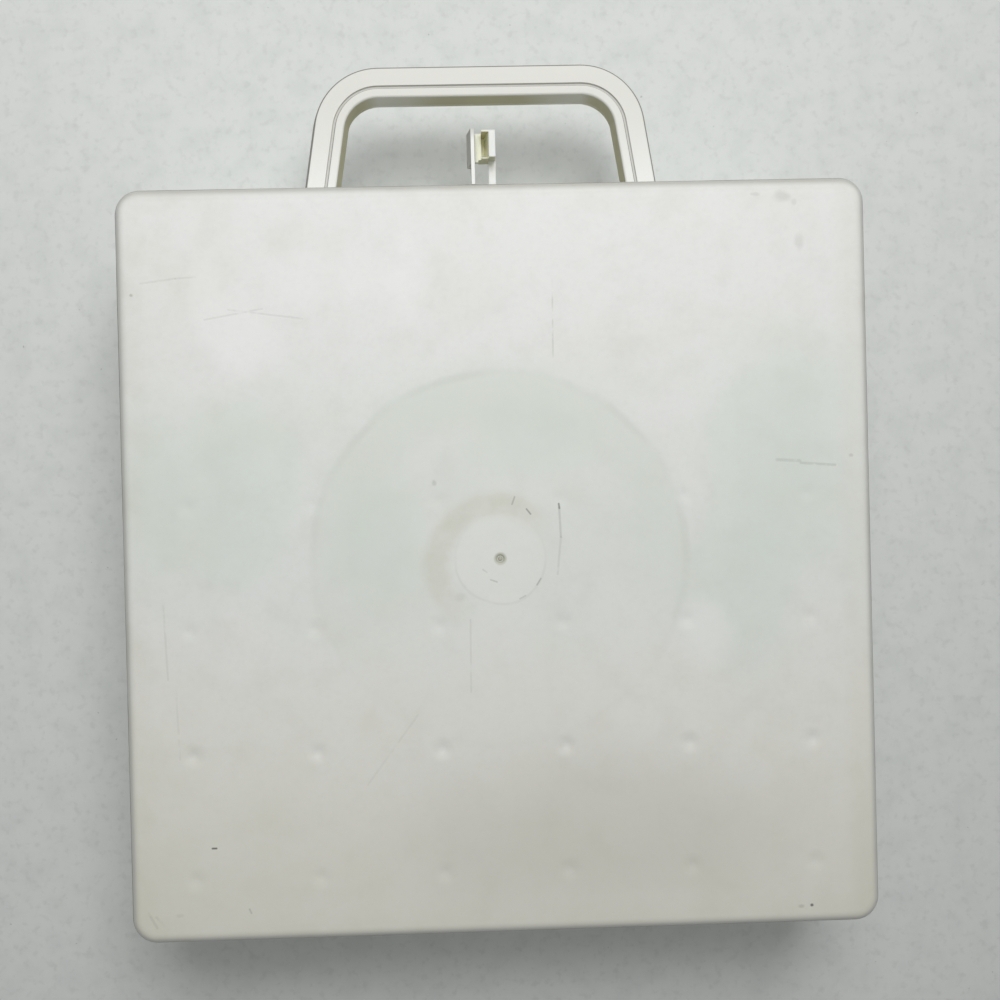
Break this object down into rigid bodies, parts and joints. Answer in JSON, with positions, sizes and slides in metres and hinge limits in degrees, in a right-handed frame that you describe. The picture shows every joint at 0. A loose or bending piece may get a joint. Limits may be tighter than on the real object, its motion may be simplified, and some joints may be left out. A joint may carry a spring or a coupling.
{
  "type": "thread spool case",
  "caption": "Square moulded carrying case for thread spools: hinged trays with rows of pegs, a carrying handle split at the rim and a swinging hook latch.",
  "frame": {"origin": "centre of the back tray's outer face, which the case lies on", "axes": "+X along the handle's bar, +Y from the hinges to the handle, +Z from the back tray to the front tray (the lid)"},
  "size_m": [0.2704, 0.3283, 0.089],
  "materials": {
    "ivory_polypropylene": "satin moulded polypropylene, ivory white, a little yellowed and scuffed",
    "steel_pin": "drawn steel wire, dull"
  },
  "bodies": {
    "base": {"base_shell": "ivory_polypropylene", "base_handle_half": "ivory_polypropylene", "base_hinge_knuckles": "ivory_polypropylene", "base_latch_catch": "ivory_polypropylene", "hinge_pin_left": "steel_pin", "hinge_pin_right": "steel_pin", "base_peg_row_1": "ivory_polypropylene", "base_peg_row_2": "ivory_polypropylene", "base_peg_row_3": "ivory_polypropylene", "base_peg_row_4": "ivory_polypropylene", "base_peg_row_5": "ivory_polypropylene", "base_peg_row_6": "ivory_polypropylene"},
    "lid": {"lid_shell": "ivory_polypropylene", "lid_handle_half": "ivory_polypropylene", "lid_hinge_knuckles": "ivory_polypropylene", "lid_latch_lugs": "ivory_polypropylene", "latch_pin": "steel_pin", "lid_peg_row_1": "ivory_polypropylene", "lid_peg_row_2": "ivory_polypropylene", "lid_peg_row_3": "ivory_polypropylene", "lid_peg_row_4": "ivory_polypropylene", "lid_peg_row_5": "ivory_polypropylene", "lid_peg_row_6": "ivory_polypropylene"},
    "hook": {"latch_hook": "ivory_polypropylene"}
  },
  "joints": [
    {"name": "lid_hinge", "type": "hinge", "parent": "base", "child": "lid", "pos_m": [0, -0.13905, 0.0445], "axis": [1, 0, 0], "range_deg": [0, 180]},
    {"name": "hook_swing", "type": "hinge", "parent": "lid", "child": "hook", "pos_m": [-0.0056, 0.1375, 0.04885], "axis": [0, 0, -1], "range_deg": [-75, 3.6]}
  ]
}
